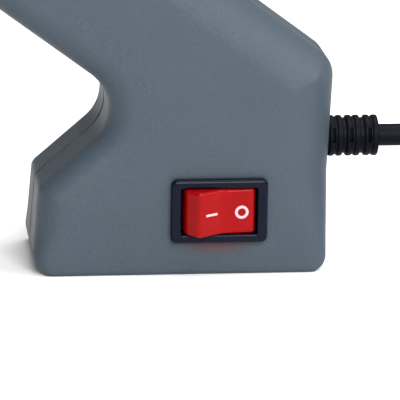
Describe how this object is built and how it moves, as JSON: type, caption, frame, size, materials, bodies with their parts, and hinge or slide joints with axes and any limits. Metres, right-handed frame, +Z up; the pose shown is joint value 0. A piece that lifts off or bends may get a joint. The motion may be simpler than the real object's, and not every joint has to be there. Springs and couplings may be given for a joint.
{
  "type": "glue gun",
  "caption": "Corded trigger glue gun on a flat handle base with a red rocker switch, ribbed cord boot and a hinged wire stand under the barrel.",
  "frame": {"origin": "on the table, under the middle of the flat base of the handle", "axes": "+Z up from the table, -X the way the nozzle points, +X the cord side, -Y the near shell with the switch"},
  "size_m": [0.3547, 0.0713, 0.1501],
  "materials": {
    "black_nylon": "satin black, glass filled",
    "steel": "zinc plated",
    "cord_rubber": "matt black PVC",
    "shell": "fine spark eroded grain, blue grey",
    "ceramic": "unglazed",
    "cast_aluminium": "as cast",
    "silicone": "matt red silicone",
    "mica": "pale insulating board",
    "brass": "machined",
    "nickel_pin": "nickel plated",
    "rocker_red": "translucent red",
    "switch_black": "semi gloss black",
    "lamp_glass": "clear glass",
    "lead_red": "silicone insulated wire",
    "trigger_plastic": "satin black",
    "zinc_wire": "bright zinc plated wire"
  },
  "bodies": {
    "body_shell": {"cord_clamp": "black_nylon", "cord_clamp_screws": "steel", "cord_coil": "cord_rubber", "cord_tail": "cord_rubber", "far_housing": "shell", "front_collar": "black_nylon", "heater_clip": "steel", "heater_element": "ceramic", "heating_chamber": "cast_aluminium", "housing_screws": "steel", "inlet_ring": "black_nylon", "inlet_sleeve": "silicone", "insulating_rings": "mica", "near_housing": "shell", "nozzle": "brass", "nozzle_boot": "silicone", "plug_body": "cord_rubber", "plug_pins": "nickel_pin", "power_cord": "cord_rubber", "stick_guide_tube": "black_nylon", "strain_relief": "cord_rubber", "switch_body": "switch_black", "switch_lamp": "lamp_glass", "switch_leads": "lead_red", "switch_terminals": "brass", "thermal_fuse": "steel", "trigger_pin": "steel", "trigger_spring": "steel", "valve_ball": "steel", "valve_spring": "steel"},
    "trigger": {"trigger": "trigger_plastic"},
    "feed_carriage": {"feed_carriage": "black_nylon", "gripper_pin": "steel"},
    "stick_gripper": {"stick_gripper": "steel"},
    "rocker": {"rocker": "rocker_red"},
    "stand": {"wire_stand": "zinc_wire"}
  },
  "joints": [
    {"name": "trigger_pull", "type": "hinge", "parent": "body_shell", "child": "trigger", "pos_m": [-0.06505, 0, 0.09125], "axis": [0, -1, 0], "range_deg": [0, 15], "stiffness_Nm_per_rad": 0.3, "springref_deg": -28.65},
    {"name": "feed_slide", "type": "slide", "parent": "body_shell", "child": "feed_carriage", "axis": [-0.8387, 0, -0.5446], "range_m": [0, 0.007]},
    {"name": "gripper_tilt", "type": "hinge", "parent": "feed_carriage", "child": "stick_gripper", "pos_m": [-0.08186, 0, 0.10025], "axis": [0, 1, 0], "range_deg": [0, 5.01]},
    {"name": "rocker_press", "type": "hinge", "parent": "body_shell", "child": "rocker", "pos_m": [0.00745, -0.01645, 0.01495], "axis": [0, 0, -1], "range_deg": [0, 34]},
    {"name": "stand_fold", "type": "hinge", "parent": "body_shell", "child": "stand", "pos_m": [-0.12144, 0, 0.06059], "axis": [0, 1, 0], "range_deg": [0, 67]}
  ],
  "couplings": [
    {"joint": "feed_slide", "follows": "trigger_pull", "m_per_rad": 0.0266},
    {"joint": "gripper_tilt", "follows": "trigger_pull", "ratio": 0.33333}
  ]
}
